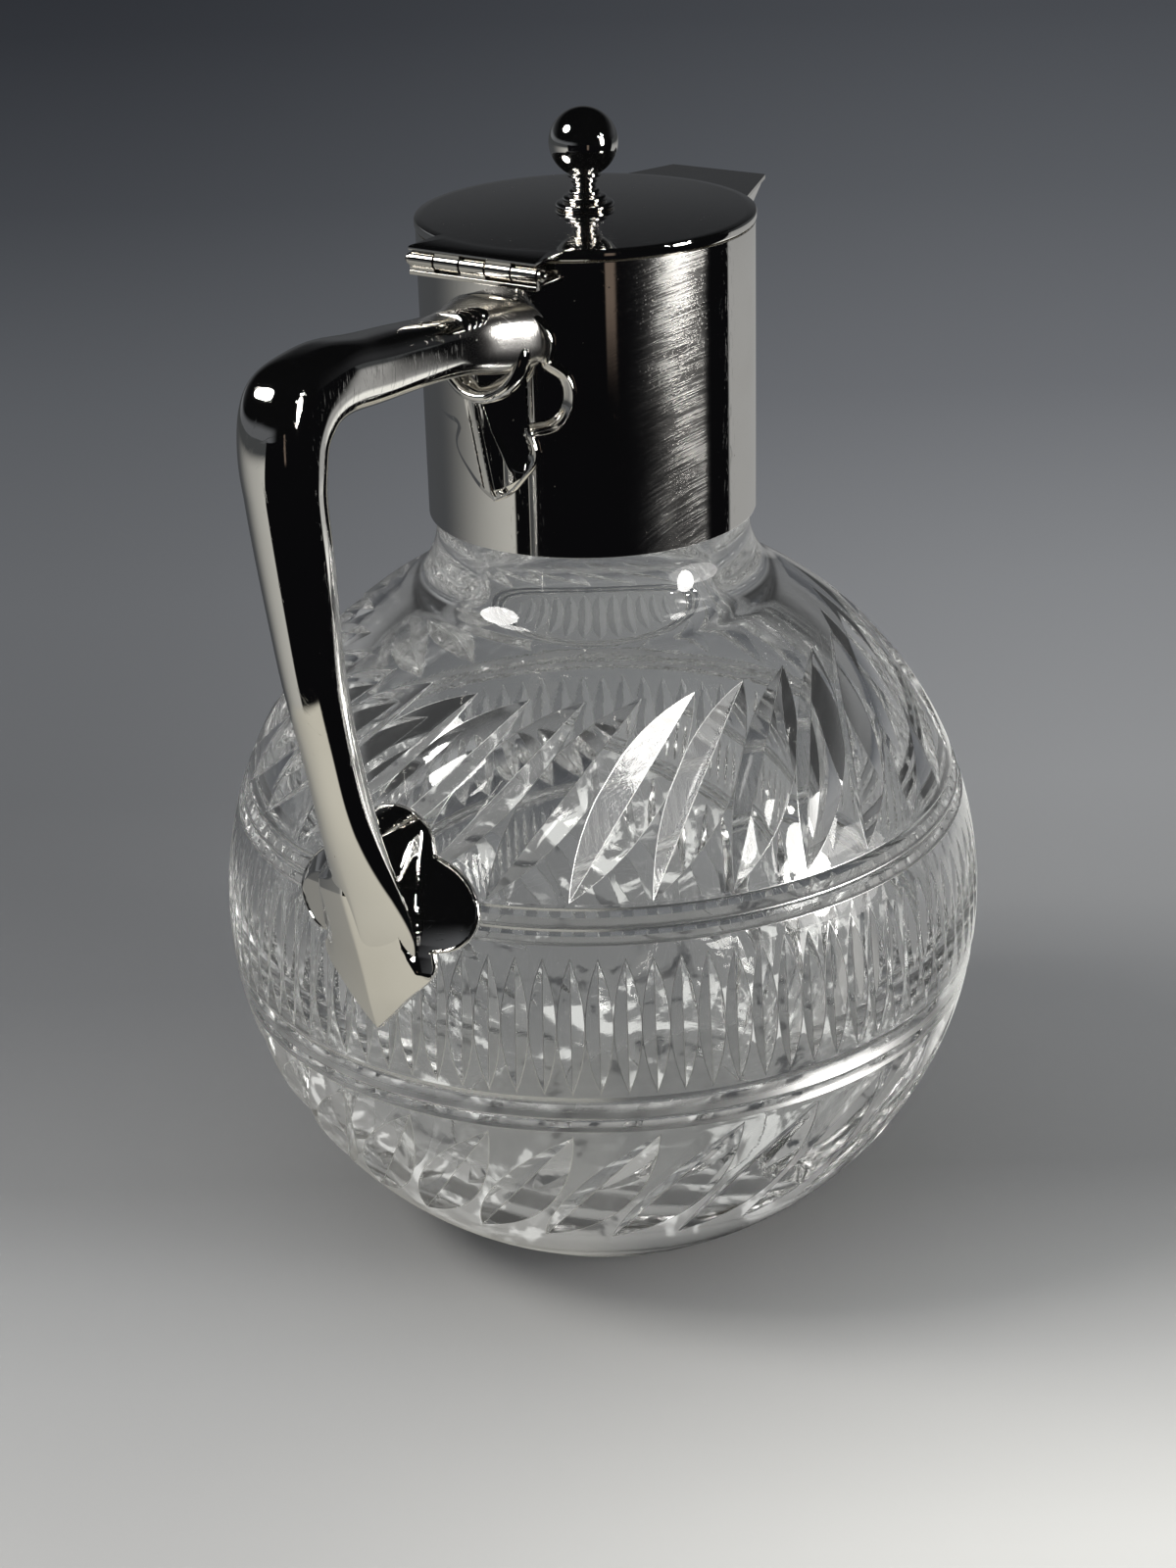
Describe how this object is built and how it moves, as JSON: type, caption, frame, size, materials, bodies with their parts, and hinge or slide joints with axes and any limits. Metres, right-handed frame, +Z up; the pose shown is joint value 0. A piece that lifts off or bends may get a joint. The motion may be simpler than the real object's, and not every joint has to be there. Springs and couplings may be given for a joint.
{
  "type": "claret jug",
  "caption": "Cut-glass claret jug with a plated collar, covered beak spout, angular handle and flat hinged lid with a ball finial.",
  "frame": {"origin": "centre of the flat foot the jug stands on", "axes": "+Z up the jug's own axis, +X towards the spout, the handle and the lid's hinge towards -X, the hinge pin along Y"},
  "size_m": [0.1734, 0.15, 0.2217],
  "materials": {
    "crystal": "polished",
    "silver": "polished",
    "hinge_metal": "polished",
    "plaster": "matte"
  },
  "bodies": {
    "jug": {"glass_body": "crystal", "bedding_ring": "plaster", "collar": "silver", "spout_shell": "silver", "spout_cover": "silver", "hinge_bracket": "hinge_metal", "collar_knuckles": "hinge_metal", "hinge_pin": "hinge_metal", "handle": "silver", "upper_leaf": "silver", "lower_leaf": "silver", "root_scroll": "silver", "arm_shell": "silver"},
    "lid": {"lid": "silver", "lid_flange": "silver", "finial": "silver", "finial_nut": "silver", "lid_knuckles": "hinge_metal"}
  },
  "joints": [
    {"name": "lid_hinge", "type": "hinge", "parent": "jug", "child": "lid", "pos_m": [-0.0354, 0, 0.20035], "axis": [0, -1, 0], "range_deg": [0, 100]}
  ]
}
